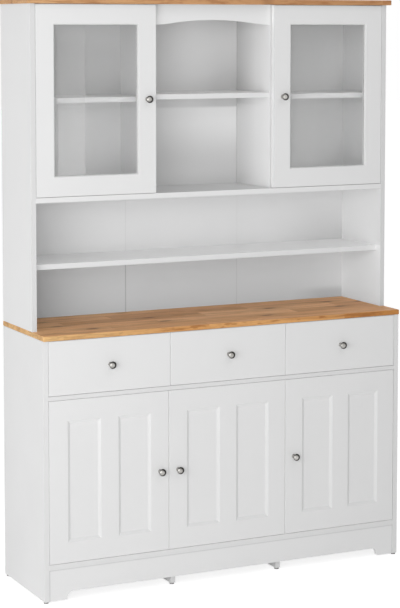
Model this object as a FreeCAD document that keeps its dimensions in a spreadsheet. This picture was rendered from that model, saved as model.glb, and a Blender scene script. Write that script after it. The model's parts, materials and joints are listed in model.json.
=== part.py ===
import FreeCAD, Part
import os
import Sketcher
from types import SimpleNamespace

# A two-part buffet cabinet. The base has three drawers over three doors, and
# the hutch that stands on it has two glass doors, an arched centre bay and an
# open niche. X runs across the front, Y from the front to the back, Z up.

os.makedirs("parts", exist_ok=True)
doc = FreeCAD.newDocument("BuffetCabinet")
sheet = doc.addObject("Spreadsheet::Sheet", "Sizes")

lengths = {
    # carcasses
    "base_width": 1176,
    "base_depth": 326,
    "base_side_height": 752,
    "hutch_depth": 240,
    "hutch_side_height": 937,
    "board": 15,
    "back_sheet": 3,
    "back_lap": 8,
    "back_seam": 0.2,
    # oak slabs
    "worktop_thickness": 15,
    "worktop_overhang": 4,
    "crown_thickness": 15,
    "crown_overhang": 12,
    "slab_easing": 1.2,
    # floor
    "glide_height": 5,
    "glide_radius": 7,
    "glide_inset": 9,
    "plinth_height": 91,
    "plinth_setback": 1.5,
    "plinth_rise": 23,
    "bracket_foot": 52,
    "bracket_toe": 3,
    "middle_foot_depth": 90,
    # fronts
    "front_thickness": 18,
    "front_gap": 1,
    "side_gap": 1,
    "front_setback": 20,
    "front_easing": 1.2,
    "drawer_front_height": 157.5,
    "rail_thickness": 12,
    "rail_depth": 60,
    # panelled doors
    "door_stile": 57,
    "door_middle_stile": 54,
    "door_rail": 60,
    "recess_depth": 5,
    "door_seam_shift": 5,
    # glass doors
    "divider_reveal": 4.5,
    "glass_stile": 58,
    "glass_rail": 59,
    "glass_bevel": 3,
    "glass_lip": 7,
    "glass_lap": 9,
    "glass_pane": 4,
    "glass_play": 0.3,
    # hutch inside
    "niche_height": 369,
    "niche_shelf_height": 174,
    "niche_shelf_setback": 26,
    "valance_end_height": 60,
    "valance_rise": 14,
    "centre_shelf_height": 274,
    "side_shelf_height": 268,
    "side_shelf_setback": 35,
    "shelf_play": 1,
    # base inside
    "base_shelf_height": 229,
    "base_shelf_setback": 40,
    "pin_radius": 2.5,
    "pin_play": 0.05,
    "pin_sunk": 7,
    "pin_stand": 8,
    "pin_inset": 37,
    # hinges, measured from the door's hinge edge and front face
    "cup_radius": 17.5,
    "cup_edge": 4.5,
    "cup_depth": 11.5,
    "cup_wall": 1,
    "cup_flange": 1.2,
    "cup_ear_height": 52,
    "cup_ear_width": 13,
    "knuckle_width": 11,
    "hinge_play": 0.3,
    "hinge_end_height": 90,
    "arm_height": 13,
    "arm_tip_in": 17.5,
    "arm_tip_width": 5,
    "arm_tip_back": 12.5,
    "arm_crank_front": 26,
    "arm_crank_back": 34,
    "arm_slope": 10,
    "arm_reach": 78,
    "arm_deep": 10,
    "plate_thickness": 4,
    "plate_height": 52,
    "plate_width": 22,
    "plate_front": 44,
    # drawers
    "box_board": 12,
    "box_height": 100,
    "box_length": 280,
    "box_lift": 16,
    "box_sheet": 3,
    "box_groove": 5,
    "box_groove_lift": 8,
    "runner_space": 12.5,
    "runner_height": 35,
    "runner_length": 270,
    "runner_metal": 1.2,
    "runner_play": 0.4,
    "runner_lift": 22,
    "runner_start": 22,
    # knobs
    "knob_reach": 24,
    "knob_stem_radius": 5.5,
    "knob_head_radius": 10.8,
    "knob_head": 8,
    # drawing aids
    "same_place": 0.001,
}
shares = {"arch_centre_share": 0.75}
counts = {"hinges": 2, "pin_sides": 8, "glide_sides": 12}
angles = {"bevel_angle": 45, "recess_angle": 61, "full_turn": 360, "half_turn": 180}

for row, (name, value) in enumerate({**lengths, **shares, **counts, **angles}.items(), start=1):
    sheet.set(f"A{row}", name)
    sheet.set(f"B{row}", str(value))
    sheet.setAlias(f"B{row}", name)
doc.recompute()


class Size:
    # a length known both as a number and as the expression that binds it to the sheet
    def __init__(self, text, number):
        self.text = text
        self.number = number

    def __add__(self, other):
        other = as_size(other)
        return Size(f"({self.text} + {other.text})", self.number + other.number)

    def __sub__(self, other):
        other = as_size(other)
        return Size(f"({self.text} - {other.text})", self.number - other.number)

    def __mul__(self, other):
        other = as_size(other)
        return Size(f"({self.text} * {other.text})", self.number * other.number)

    def __truediv__(self, other):
        other = as_size(other)
        return Size(f"({self.text} / {other.text})", self.number / other.number)

    def __neg__(self):
        return Size(f"(-{self.text})", -self.number)

    def __radd__(self, other):
        return as_size(other) + self

    def __rsub__(self, other):
        return as_size(other) - self

    def __rmul__(self, other):
        return as_size(other) * self


def as_size(value):
    return value if isinstance(value, Size) else Size(str(value), value)


s = SimpleNamespace(**{
    name: Size(f"Sizes.{name}", value)
    for name, value in {**lengths, **shares, **counts, **angles}.items()
})

# Levels above the floor, and planes from front to back
side_foot = s.glide_height
worktop_under = side_foot + s.base_side_height
worktop_top = worktop_under + s.worktop_thickness
niche_top = worktop_top + s.niche_height
hutch_floor = niche_top + s.board
crown_under = worktop_top + s.hutch_side_height
plinth_top = side_foot + s.plinth_height
base_floor = plinth_top + s.board
drawer_low = worktop_under - s.front_gap - s.drawer_front_height
rail_top = drawer_low - s.front_gap
rail_low = rail_top - s.rail_thickness
door_low = base_floor + s.front_gap
door_height = rail_low - s.front_gap - door_low
glass_door_low = hutch_floor + s.front_gap
glass_door_height = crown_under - s.front_gap - glass_door_low

back_plane = (s.base_depth + s.knob_reach) / 2
base_front = back_plane - s.base_depth
hutch_front = back_plane - s.hutch_depth
back_face = back_plane - s.back_sheet
base_inner_depth = s.base_depth - s.back_sheet
hutch_inner_depth = s.hutch_depth - s.back_sheet

half_width = s.base_width / 2
half_inside = half_width - s.board
third_half = half_inside / 3
door_edge_outer = half_inside - s.side_gap
door_edge_inner = third_half + s.front_gap / 2
base_divider_half = third_half - s.board / 2


def bind(thing, name, size):
    thing.setExpression(name, as_size(size).text)


def place(thing, x, y, z):
    for axis, size in zip("xyz", (x, y, z)):
        bind(thing, f"Placement.Base.{axis}", size)


def board(label, corner, size):
    # a plain rectangular board, from its lowest corner and its size in X, Y and Z
    piece = doc.addObject("Part::Box", label)
    piece.Label = label
    for name, length in zip(("Length", "Width", "Height"), size):
        bind(piece, name, length)
    place(piece, *corner)
    return piece


def new_body(label):
    body = doc.addObject("PartDesign::Body", label)
    body.Label = label
    return body


def sketch_in(body, role, lift=None):
    # a sketch on one of the body's own origin planes, moved along its normal by lift
    sketch = body.newObject("Sketcher::SketchObject", f"{body.Label}_sketch")
    plane = next(item for item in body.Origin.OriginFeatures if item.Role == role)
    sketch.AttachmentSupport = (plane, [""])
    sketch.MapMode = "FlatFace"
    if lift is not None:
        bind(sketch, "AttachmentOffset.Base.z", lift)
    return sketch


def point(x, y):
    return FreeCAD.Vector(as_size(x).number, as_size(y).number, 0)


def hold(sketch, edge, end, x, y):
    # ties one point of a sketch to its two distances from the origin
    for kind, axis, size in (("DistanceX", -2, as_size(x)), ("DistanceY", -1, as_size(y))):
        if size.text == "0":
            sketch.addConstraint(Sketcher.Constraint("PointOnObject", edge, end, axis))
        else:
            row = sketch.addConstraint(Sketcher.Constraint(kind, -1, 1, edge, end, size.number))
            sketch.setExpression(f"Constraints[{row}]", size.text)


def outline(sketch, corners, bends=None):
    # a closed outline; bends gives the centre and radius of each side that is an arc
    bends = bends or {}
    ends = []
    for k, corner in enumerate(corners):
        start = point(*corner)
        stop = point(*corners[(k + 1) % len(corners)])
        if k in bends:
            centre = point(*bends[k][:2])
            out = (start + stop) / 2 - centre
            middle = centre + out.normalize().multiply(bends[k][2].number)
            edge = sketch.addGeometry(Part.Arc(start, middle, stop), False)
            row = sketch.addConstraint(Sketcher.Constraint("Radius", edge, bends[k][2].number))
            sketch.setExpression(f"Constraints[{row}]", bends[k][2].text)
        else:
            edge = sketch.addGeometry(Part.LineSegment(start, stop), False)
        turned = sketch.getPoint(edge, 1).distanceToPoint(start) > lengths["same_place"]
        ends.append((edge, 2, 1) if turned else (edge, 1, 2))
    for k, (edge, first, last) in enumerate(ends):
        following, follow_first, follow_last = ends[(k + 1) % len(ends)]
        sketch.addConstraint(
            Sketcher.Constraint("Coincident", edge, last, following, follow_first))
        hold(sketch, edge, first, *corners[k])


def rectangle(sketch, low, high):
    outline(sketch, [low, (high[0], low[1]), high, (low[0], high[1])])


def circle(sketch, x, y, radius):
    edge = sketch.addGeometry(
        Part.Circle(point(x, y), FreeCAD.Vector(0, 0, 1), radius.number), False)
    hold(sketch, edge, 3, x, y)
    row = sketch.addConstraint(Sketcher.Constraint("Radius", edge, radius.number))
    sketch.setExpression(f"Constraints[{row}]", radius.text)


def pad(body, sketch, length, backwards=False):
    feature = body.newObject("PartDesign::Pad", f"{body.Label}_pad")
    feature.Profile = sketch
    feature.Reversed = backwards
    bind(feature, "Length", length)
    return feature


def pocket(body, sketch, depth, backwards=False, bevel=None):
    # bevel is the angle at which the walls lean inwards
    feature = body.newObject("PartDesign::Pocket", f"{body.Label}_pocket")
    feature.Profile = sketch
    feature.Reversed = backwards
    bind(feature, "Length", depth)
    if bevel:
        bind(feature, "TaperAngle", -bevel)
    return feature


def revolve(body, sketch):
    feature = body.newObject("PartDesign::Revolution", f"{body.Label}_turning")
    feature.Profile = sketch
    feature.ReferenceAxis = (sketch, ["V_Axis"])
    bind(feature, "Angle", s.full_turn)
    return feature


def row_along_z(body, features, length, count):
    # repeats features upwards along their body's own Z axis
    axis = next(item for item in body.Origin.OriginFeatures if item.Role == "Z_Axis")
    pattern = body.newObject("PartDesign::LinearPattern", f"{body.Label}_row")
    pattern.Originals = features
    pattern.Direction = (axis, [""])
    bind(pattern, "Length", length)
    bind(pattern, "Occurrences", count)
    body.Tip = pattern
    return pattern


def ease(body, feature, size, chosen):
    # takes the sharp arris off the chosen edges of a feature
    doc.recompute()
    names = [f"Edge{k}" for k, edge in enumerate(feature.Shape.Edges, start=1) if chosen(edge.BoundBox)]
    chamfer = body.newObject("PartDesign::Chamfer", f"{body.Label}_easing")
    chamfer.Base = (feature, names)
    bind(chamfer, "Size", size)
    return chamfer


def at_front(box):
    return abs(box.YMin) < lengths["same_place"] and abs(box.YMax) < lengths["same_place"]


def group(label, pieces):
    # equal small pieces that share one node, each still a solid of its own
    gathered = doc.addObject("Part::Compound", label)
    gathered.Label = label
    gathered.Links = pieces
    return gathered


def pin_holes(body, lift, level, depth, front_hole, back_hole, backwards=False):
    # a pair of shelf-pin holes, near the front and the back of a board
    sketch = sketch_in(body, "YZ_Plane", lift)
    for y in (front_hole, back_hole):
        circle(sketch, y, level, s.pin_radius + s.pin_play)
    pocket(body, sketch, depth, backwards)


def side_panel(label, inward, front, low, depth, height, pin_level):
    # inward is 1 on the left side panel and -1 on the right one
    body = new_body(label)
    face = inward * s.board
    sheet_edge = inward * (s.board - s.back_lap)
    step = depth - s.back_sheet
    sketch = sketch_in(body, "XY_Plane")
    outline(sketch, [(0, 0), (face, 0), (face, step), (sheet_edge, step), (sheet_edge, depth), (0, depth)])
    pad(body, sketch, height)
    pin_holes(body, face, pin_level - low, s.pin_sunk, s.pin_inset, depth - s.pin_inset, inward < 0)
    place(body, -inward * half_width, front, low)
    return body


def hutch_divider(label, inward):
    # inward points to the centre bay, so the pin holes are on the other face
    body = new_body(label)
    depth = hutch_inner_depth - s.front_setback
    height = crown_under - hutch_floor
    sketch = sketch_in(body, "YZ_Plane")
    rectangle(sketch, (0, 0), (depth, height))
    pad(body, sketch, s.board)
    outer = 0 if inward > 0 else s.board
    pin_holes(body, outer, hutch_pin_level - hutch_floor, s.pin_sunk, s.pin_inset - s.front_setback,
              s.hutch_depth - s.pin_inset - s.front_setback, inward > 0)
    x = -third_half - s.board if inward > 0 else third_half
    place(body, x, hutch_front + s.front_setback, hutch_floor)
    return body


def base_divider(label, x):
    # notched at the front for the rail between the drawers and the doors
    body = new_body(label)
    depth = base_inner_depth - s.front_setback
    notch = s.rail_depth - s.front_setback
    top = worktop_under - base_floor
    upper = rail_top - base_floor
    lower = rail_low - base_floor
    sketch = sketch_in(body, "YZ_Plane")
    outline(sketch, [(0, 0), (depth, 0), (depth, top), (0, top), (0, upper),
                     (notch, upper), (notch, lower), (0, lower)])
    pad(body, sketch, s.board)
    pin_holes(body, s.board, base_pin_level - base_floor, s.board, s.pin_inset - s.front_setback,
              s.base_depth - s.pin_inset - s.front_setback)
    place(body, x, base_front + s.front_setback, base_floor)
    return body


hutch_side_shelf_under = hutch_floor + s.side_shelf_height
hutch_centre_shelf_under = hutch_floor + s.centre_shelf_height
base_shelf_under = base_floor + s.base_shelf_height
hutch_pin_level = hutch_side_shelf_under - s.pin_radius
base_pin_level = base_shelf_under - s.pin_radius

pieces = []

# Base carcass
for label, inward in (("base_side_left", 1), ("base_side_right", -1)):
    pieces.append(side_panel(label, inward, base_front, side_foot, s.base_depth,
                             s.base_side_height, base_pin_level))
pieces.append(base_divider("base_divider_left", -base_divider_half - s.board))
pieces.append(base_divider("base_divider_right", base_divider_half))
pieces.append(board("base_bottom_board", (-half_inside, base_front, plinth_top),
                    (half_inside * 2, base_inner_depth, s.board)))
pieces.append(board("drawer_rail", (-half_inside, base_front, rail_low),
                    (half_inside * 2, s.rail_depth, s.rail_thickness)))


def plinth():
    # the kick board with a bracket foot at each end, cut in an ogee at its inner end
    body = new_body("plinth_valance")
    flat = half_inside - s.bracket_foot
    turn = flat - s.bracket_toe
    sweep = s.plinth_rise - s.bracket_toe
    inner = turn - sweep
    corners = [(half_inside, 0), (half_inside, s.plinth_height), (-half_inside, s.plinth_height),
               (-half_inside, 0), (-flat, 0), (-turn, s.bracket_toe), (-inner, s.plinth_rise),
               (inner, s.plinth_rise), (turn, s.bracket_toe), (flat, 0)]
    bends = {4: (-flat, s.bracket_toe, s.bracket_toe), 5: (-inner, s.bracket_toe, sweep),
             7: (inner, s.bracket_toe, sweep), 8: (flat, s.bracket_toe, s.bracket_toe)}
    sketch = sketch_in(body, "XZ_Plane")
    outline(sketch, corners, bends)
    pad(body, sketch, s.board, backwards=True)
    place(body, 0, plinth_front, side_foot)
    return body


plinth_front = base_front + s.plinth_setback
pieces.append(plinth())
foot_front = plinth_front + s.board
foot_inner = base_divider_half - s.board
foot_height = plinth_top - s.glide_height
pieces.append(group("middle_feet", [
    board(f"middle_foot_{k}", (x, foot_front, s.glide_height),
          (s.board, s.middle_foot_depth, foot_height))
    for k, x in enumerate((-base_divider_half, foot_inner))]))


def prism(label, sides, radius, height):
    # a small pin or pad, with few sides because it repeats
    piece = doc.addObject("Part::Prism", label)
    bind(piece, "Polygon", sides)
    bind(piece, "Circumradius", radius)
    bind(piece, "Height", height)
    return piece


def glide(x, y):
    piece = prism("glide", s.glide_sides, s.glide_radius, s.glide_height)
    place(piece, x, y, 0)
    return piece


side_middle = half_width - s.board / 2
foot_middle = base_divider_half - s.board / 2
pieces.append(group("floor_glides", [
    glide(side * x, y)
    for side in (-1, 1)
    for x, y in ((side_middle, base_front + s.glide_inset),
                 (side_middle, back_plane - s.glide_inset - s.back_sheet),
                 (foot_middle, foot_front + s.glide_inset))]))


def slab(label, half, front, thickness, low):
    # an oak slab with eased front and end edges
    body = new_body(label)
    depth = back_plane - front
    sketch = sketch_in(body, "XY_Plane")
    rectangle(sketch, (-half, 0), (half, depth))
    solid = pad(body, sketch, thickness)
    ease(body, solid, s.slab_easing, lambda box: box.YMin < lengths["same_place"])
    place(body, 0, front, low)
    return body


pieces.append(slab("worktop", half_width, base_front - s.worktop_overhang,
                   s.worktop_thickness, worktop_under))

# Hutch carcass
for label, inward in (("hutch_side_left", 1), ("hutch_side_right", -1)):
    pieces.append(side_panel(label, inward, hutch_front, worktop_top, s.hutch_depth,
                             s.hutch_side_height, hutch_pin_level))
pieces.append(board("hutch_bottom_board", (-half_inside, hutch_front, niche_top),
                    (half_inside * 2, hutch_inner_depth, s.board)))
pieces.append(hutch_divider("hutch_divider_left", 1))
pieces.append(hutch_divider("hutch_divider_right", -1))
pieces.append(slab("crown_board", half_width + s.crown_overhang, hutch_front - s.crown_overhang,
                   s.crown_thickness, crown_under))
pieces.append(board("niche_shelf",
                    (-half_inside, hutch_front + s.niche_shelf_setback, worktop_top + s.niche_shelf_height),
                    (half_inside * 2, hutch_inner_depth - s.niche_shelf_setback, s.board)))


def arched_valance():
    # a low arch that runs out level at both ends, drawn as three touching arcs
    body = new_body("arch_valance")
    half = third_half
    whole_radius = (half * half + s.valance_rise * s.valance_rise) / (s.valance_rise * 2)
    centre_radius = whole_radius * s.arch_centre_share
    end_radius = whole_radius - centre_radius
    join = half * s.arch_centre_share
    join_height = s.valance_rise - s.valance_rise * s.arch_centre_share
    corners = [(half, 0), (half, s.valance_end_height), (-half, s.valance_end_height),
               (-half, 0), (-join, join_height), (join, join_height)]
    bends = {3: (-half, end_radius, end_radius),
             4: (0, s.valance_rise - centre_radius, centre_radius),
             5: (half, end_radius, end_radius)}
    sketch = sketch_in(body, "XZ_Plane")
    outline(sketch, corners, bends)
    pad(body, sketch, s.board, backwards=True)
    place(body, 0, hutch_front + s.front_setback, crown_under - s.valance_end_height)
    return body


pieces.append(arched_valance())

# Shelves and the pins that carry the loose ones
pieces.append(board("hutch_shelf_centre",
                    (-third_half, hutch_front + s.front_setback, hutch_centre_shelf_under),
                    (third_half * 2, hutch_inner_depth - s.front_setback, s.board)))
hutch_bay_inner = third_half + s.board
pins = []


def pin(face, into, y, shelf_under):
    # into is the direction in which the pin is sunk; its top carries the shelf
    peg = prism("shelf_pin", s.pin_sides, s.pin_radius, s.pin_sunk + s.pin_stand)
    start = face - s.pin_stand if into > 0 else face - s.pin_sunk
    place(peg, start, y, shelf_under - s.pin_radius)
    peg.Placement.Rotation = FreeCAD.Rotation(FreeCAD.Vector(0, 0, 1), FreeCAD.Vector(1, 0, 0))
    place(peg, start, y, shelf_under - s.pin_radius)
    pins.append(peg)


def loose_shelf(label, low_x, high_x, front, setback, under, depth):
    for y in (front + s.pin_inset, back_plane - s.pin_inset):
        pin(low_x, -1, y, under)
        pin(high_x, 1, y, under)
    return board(label, (low_x + s.shelf_play, front + setback, under),
                 (high_x - low_x - s.shelf_play * 2, depth - setback - s.shelf_play, s.board))


for label, low_x, high_x in (("hutch_shelf_left", -half_inside, -hutch_bay_inner),
                             ("hutch_shelf_right", hutch_bay_inner, half_inside)):
    pieces.append(loose_shelf(label, low_x, high_x, hutch_front, s.side_shelf_setback,
                              hutch_side_shelf_under, hutch_inner_depth))
base_bays = (("left", -half_inside, -base_divider_half - s.board),
             ("middle", -base_divider_half, base_divider_half),
             ("right", base_divider_half + s.board, half_inside))
for name, low_x, high_x in base_bays:
    pieces.append(loose_shelf(f"base_shelf_{name}", low_x, high_x, base_front, s.base_shelf_setback,
                              base_shelf_under, base_inner_depth))
pieces.append(group("shelf_pins", pins))


def back_panels(label, low, high, seam):
    # three thin sheets, let into the side panels and meeting behind the dividers
    outer = half_inside + s.back_lap
    gap = s.back_seam / 2
    spans = ((-outer, -seam - gap), (-seam + gap, seam - gap), (seam + gap, outer))
    return group(label, [
        board(f"{label}_{k}", (left, back_face, low), (right - left, s.back_sheet, high - low))
        for k, (left, right) in enumerate(spans)])


pieces.append(back_panels("base_back_panels", plinth_top, worktop_under, third_half))
pieces.append(back_panels("hutch_back_panels", worktop_top, crown_under, third_half))


def knob(label, x, front, z):
    # a mushroom knob turned round its own Y axis, its head towards the front
    body = new_body(label)
    under = s.knob_reach - s.knob_head
    sketch = sketch_in(body, "XY_Plane")
    outline(sketch, [(0, 0), (s.knob_stem_radius, 0), (s.knob_stem_radius, under),
                     (s.knob_head_radius, under), (s.knob_head_radius, s.knob_reach),
                     (0, s.knob_reach)])
    revolve(body, sketch)
    body.Placement.Rotation = FreeCAD.Rotation(FreeCAD.Vector(0, 0, 1), angles["half_turn"])
    place(body, x, front, z)
    return body


def cup_bores(body, x, height, end):
    # two blind bores in a door's back for the hinge cups
    sketch = sketch_in(body, "XZ_Plane", -s.front_thickness)
    for z in (end, height - end):
        circle(sketch, x, z, s.cup_radius + s.pin_play)
    pocket(body, sketch, s.cup_depth + s.pin_play, backwards=True)


def hinge_cups(label, x, front, low, height):
    # pressed steel cups, each with two screw ears on the door's back
    body = new_body(label)
    ear = s.cup_ear_width / 2
    sketch = sketch_in(body, "XY_Plane")
    bore = s.cup_radius - s.cup_wall
    floor = s.cup_depth - s.cup_wall
    outline(sketch, [(0, -s.cup_depth), (s.cup_radius, -s.cup_depth), (s.cup_radius, s.cup_flange),
                     (bore, s.cup_flange), (bore, -floor), (0, -floor)])
    cup = revolve(body, sketch)
    sketch = sketch_in(body, "XZ_Plane")
    for side in (-1, 1):
        rectangle(sketch, (-ear, side * bore), (ear, side * s.cup_ear_height / 2))
    ears = pad(body, sketch, s.cup_flange, backwards=True)
    # the knuckle on the cup's floor, which the tip of the arm meets when the door is shut
    sketch = sketch_in(body, "XZ_Plane", floor)
    rectangle(sketch, (-s.knuckle_width / 2, -s.arm_height / 2), (s.knuckle_width / 2, s.arm_height / 2))
    tip_depth = s.front_thickness - s.arm_tip_back
    knuckle = pad(body, sketch, floor - tip_depth - s.hinge_play, backwards=True)
    row_along_z(body, [cup, ears, knuckle], height - s.hinge_end_height * 2, s.hinges)
    place(body, x, front + s.front_thickness, low + s.hinge_end_height)
    return body


def hinge_arm(edge, inward, face, front, z):
    # the fixed half of one hinge; inward points from the hinge edge into the door
    def across(distance):
        return inward * distance

    body = new_body(f"hinge_arm_{len(arms)}")
    foot = face + s.plate_thickness
    crown = foot + s.arm_deep
    tip = s.arm_tip_in
    tip_end = tip + s.arm_tip_width
    half = s.arm_height / 2
    corners = [(tip, s.arm_tip_back), (tip_end, s.arm_tip_back), (tip_end, s.arm_crank_back),
               (crown, s.arm_crank_back + s.arm_slope), (crown, s.arm_reach), (foot, s.arm_reach),
               (foot, s.arm_crank_front), (tip, s.arm_crank_front)]
    sketch = sketch_in(body, "XY_Plane", -half)
    outline(sketch, [(across(x), y) for x, y in corners])
    pad(body, sketch, s.arm_height)
    place(body, edge, front, z)
    arms.append(body)
    low, high = (face, foot) if inward > 0 else (-foot, -face)
    arms.append(board(f"hinge_plate_{len(arms)}",
                      (edge + low, front + s.plate_front, z - s.plate_height / 2),
                      (high - low, s.plate_width, s.plate_height)))


arms = []


def hang(label, edge, inward, face, front, low, height):
    # the hinges of one door: cups on the door, arms on the panel beside it
    x = edge + inward * (s.cup_edge + s.cup_radius)
    for z in (low + s.hinge_end_height, low + height - s.hinge_end_height):
        hinge_arm(edge, inward, face, front, z)
    return hinge_cups(f"{label}_hinge_cups", x, front, low, height)


def glass_door(name, inward):
    # inward is 1 on the left door, which is hinged at its left edge
    label = f"glass_door_{name}"
    width = door_edge_outer - third_half - s.divider_reveal
    low_x = -door_edge_outer if inward > 0 else door_edge_outer - width
    edge = -inward * door_edge_outer
    height = glass_door_height
    body = new_body(f"{label}_frame")
    sketch = sketch_in(body, "XZ_Plane")
    rectangle(sketch, (0, 0), (width, height))
    solid = pad(body, sketch, s.front_thickness, backwards=True)
    ease(body, solid, s.front_easing, at_front)
    low = (s.glass_stile, s.glass_rail)
    high = (width - s.glass_stile, height - s.glass_rail)
    sketch = sketch_in(body, "XZ_Plane")
    rectangle(sketch, (low[0] - s.glass_bevel, low[1] - s.glass_bevel),
              (high[0] + s.glass_bevel, high[1] + s.glass_bevel))
    pocket(body, sketch, s.glass_bevel, bevel=s.bevel_angle)
    sketch = sketch_in(body, "XZ_Plane")
    rectangle(sketch, low, high)
    pocket(body, sketch, s.front_thickness)
    sketch = sketch_in(body, "XZ_Plane", -s.front_thickness)
    rectangle(sketch, (low[0] - s.glass_lap, low[1] - s.glass_lap),
              (high[0] + s.glass_lap, high[1] + s.glass_lap))
    pocket(body, sketch, s.front_thickness - s.glass_lip, backwards=True)
    cup_x = s.cup_edge + s.cup_radius if inward > 0 else width - s.cup_edge - s.cup_radius
    cup_bores(body, cup_x, height, s.hinge_end_height)
    place(body, low_x, hutch_front, glass_door_low)
    pane_low = (low_x + low[0] - s.glass_lap + s.glass_play,
                glass_door_low + low[1] - s.glass_lap + s.glass_play)
    pane_width = width - s.glass_stile * 2 + s.glass_lap * 2 - s.glass_play * 2
    pane_height = height - s.glass_rail * 2 + s.glass_lap * 2 - s.glass_play * 2
    pane_y = hutch_front + s.glass_lip
    pane = board(f"{label}_glass", (pane_low[0], pane_y, pane_low[1]),
                 (pane_width, s.glass_pane, pane_height))
    bead_y = pane_y + s.glass_pane
    bead_depth = s.front_thickness - s.glass_lip - s.glass_pane
    bead = s.glass_lap - s.glass_play
    inside = pane_width - bead * 2
    beads = [board(f"{label}_bead_{k}", (x, bead_y, z), (wide, bead_depth, tall))
             for k, (x, z, wide, tall) in enumerate((
                 (pane_low[0], pane_low[1], bead, pane_height),
                 (pane_low[0] + pane_width - bead, pane_low[1], bead, pane_height),
                 (pane_low[0] + bead, pane_low[1], inside, bead),
                 (pane_low[0] + bead, pane_low[1] + pane_height - bead, inside, bead)))]
    knob_x = low_x + width - s.glass_stile / 2 if inward > 0 else low_x + s.glass_stile / 2
    return [body, pane, group(f"{label}_glass_beads", beads),
            knob(f"{label}_knob", knob_x, hutch_front, glass_door_low + height / 2),
            hang(label, edge, inward, -s.side_gap, hutch_front, glass_door_low, height)]


pieces += glass_door("left", 1)
pieces += glass_door("right", -1)


def panelled_door(name, low_x, high_x, inward, face):
    # one board with two tall recesses, each with a bevel all round
    label = f"base_door_{name}"
    width = high_x - low_x
    height = door_height
    body = new_body(f"{label}_panel")
    sketch = sketch_in(body, "XZ_Plane")
    rectangle(sketch, (0, 0), (width, height))
    solid = pad(body, sketch, s.front_thickness, backwards=True)
    ease(body, solid, s.front_easing, at_front)
    recess = (width - s.door_stile * 2 - s.door_middle_stile) / 2
    sketch = sketch_in(body, "XZ_Plane")
    for x in (s.door_stile, s.door_stile + recess + s.door_middle_stile):
        rectangle(sketch, (x, s.door_rail), (x + recess, height - s.door_rail))
    pocket(body, sketch, s.recess_depth, bevel=s.recess_angle)
    cup_x = s.cup_edge + s.cup_radius if inward > 0 else width - s.cup_edge - s.cup_radius
    cup_bores(body, cup_x, height, s.hinge_end_height)
    place(body, low_x, base_front, door_low)
    edge = low_x if inward > 0 else high_x
    knob_x = high_x - s.door_stile / 2 if inward > 0 else low_x + s.door_stile / 2
    return [body, knob(f"{label}_knob", knob_x, base_front, door_low + height / 2),
            hang(label, edge, inward, face, base_front, door_low, height)]


# The left and the middle door meet a little to the left of their divider's middle
divider_face = third_half - s.front_gap / 2 - base_divider_half
seam = -third_half - s.door_seam_shift
pieces += panelled_door("left", -door_edge_outer, seam - s.front_gap / 2, 1, -s.side_gap)
pieces += panelled_door("middle", seam + s.front_gap / 2, third_half - s.front_gap / 2, -1, divider_face)
pieces += panelled_door("right", door_edge_inner, door_edge_outer, -1, -s.side_gap)
pieces.append(group("hinge_arms", arms))


def channel(label, back, inward, low, depth, height, y):
    # a straight steel channel along Y, open towards inward
    body = new_body(label)

    def across(distance):
        return inward * distance

    metal = s.runner_metal
    sketch = sketch_in(body, "XZ_Plane")
    corners = [(0, 0), (depth, 0), (depth, metal), (metal, metal), (metal, height - metal),
               (depth, height - metal), (depth, height), (0, height)]
    outline(sketch, [(across(x), z) for x, z in corners])
    pad(body, sketch, s.runner_length, backwards=True)
    place(body, back, y, low)
    return body


fixed_runners = []


def box_side(label, x, y, z, inward):
    # grooved near its lower edge for the drawer's bottom sheet
    body = new_body(label)
    face = inward * s.box_board
    floor = inward * (s.box_board - s.box_groove)
    groove_top = s.box_groove_lift + s.box_sheet + s.pin_play * 2
    sketch = sketch_in(body, "XZ_Plane")
    outline(sketch, [(0, 0), (face, 0), (face, s.box_groove_lift), (floor, s.box_groove_lift),
                     (floor, groove_top), (face, groove_top), (face, s.box_height), (0, s.box_height)])
    pad(body, sketch, s.box_length, backwards=True)
    place(body, x, y, z)
    return body


def drawer(name, low_x, high_x, bay_low, bay_high):
    label = f"drawer_{name}"
    front_body = new_body(f"{label}_front")
    width = high_x - low_x
    sketch = sketch_in(front_body, "XZ_Plane")
    rectangle(sketch, (0, 0), (width, s.drawer_front_height))
    solid = pad(front_body, sketch, s.front_thickness, backwards=True)
    ease(front_body, solid, s.front_easing, at_front)
    place(front_body, low_x, base_front, drawer_low)
    y = base_front + s.front_thickness
    z = drawer_low + s.box_lift
    left = bay_low + s.runner_space
    right = bay_high - s.runner_space
    inside = right - left - s.box_board * 2
    sheet_z = z + s.box_groove_lift
    back_z = sheet_z + s.box_sheet
    reach = s.box_groove - s.pin_play * 2
    box = group(f"{label}_box", [
        box_side(f"{label}_side_1", left, y, z, 1),
        box_side(f"{label}_side_2", right, y, z, -1),
        board(f"{label}_back", (left + s.box_board, y + s.box_length - s.box_board, back_z),
              (inside, s.box_board, s.box_height - s.box_groove_lift - s.box_sheet)),
        board(f"{label}_bottom", (left + s.box_board - reach, y, sheet_z),
              (inside + reach * 2, s.box_length, s.box_sheet))])
    runner_z = z + s.runner_lift
    inner_low = runner_z + s.runner_metal + s.runner_play
    inner_height = s.runner_height - s.runner_metal * 2 - s.runner_play * 2
    inner_depth = s.runner_space - s.runner_metal - s.runner_play
    outer_depth = s.runner_space - s.runner_metal - s.runner_play
    start = base_front + s.runner_start
    for side, (panel, inward) in enumerate(((bay_low, 1), (bay_high, -1))):
        fixed_runners.append(channel(f"{label}_fixed_runner_{side}", panel, inward, runner_z,
                                     outer_depth, s.runner_height, start))
    runners = group(f"{label}_runners", [
        channel(f"{label}_runner_{side}", wall, inward, inner_low, inner_depth, inner_height, start)
        for side, (wall, inward) in enumerate(((left, -1), (right, 1)))])
    middle = (low_x + high_x) / 2
    return [front_body, box, runners,
            knob(f"{label}_knob", middle, base_front, drawer_low + s.drawer_front_height / 2)]


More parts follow.
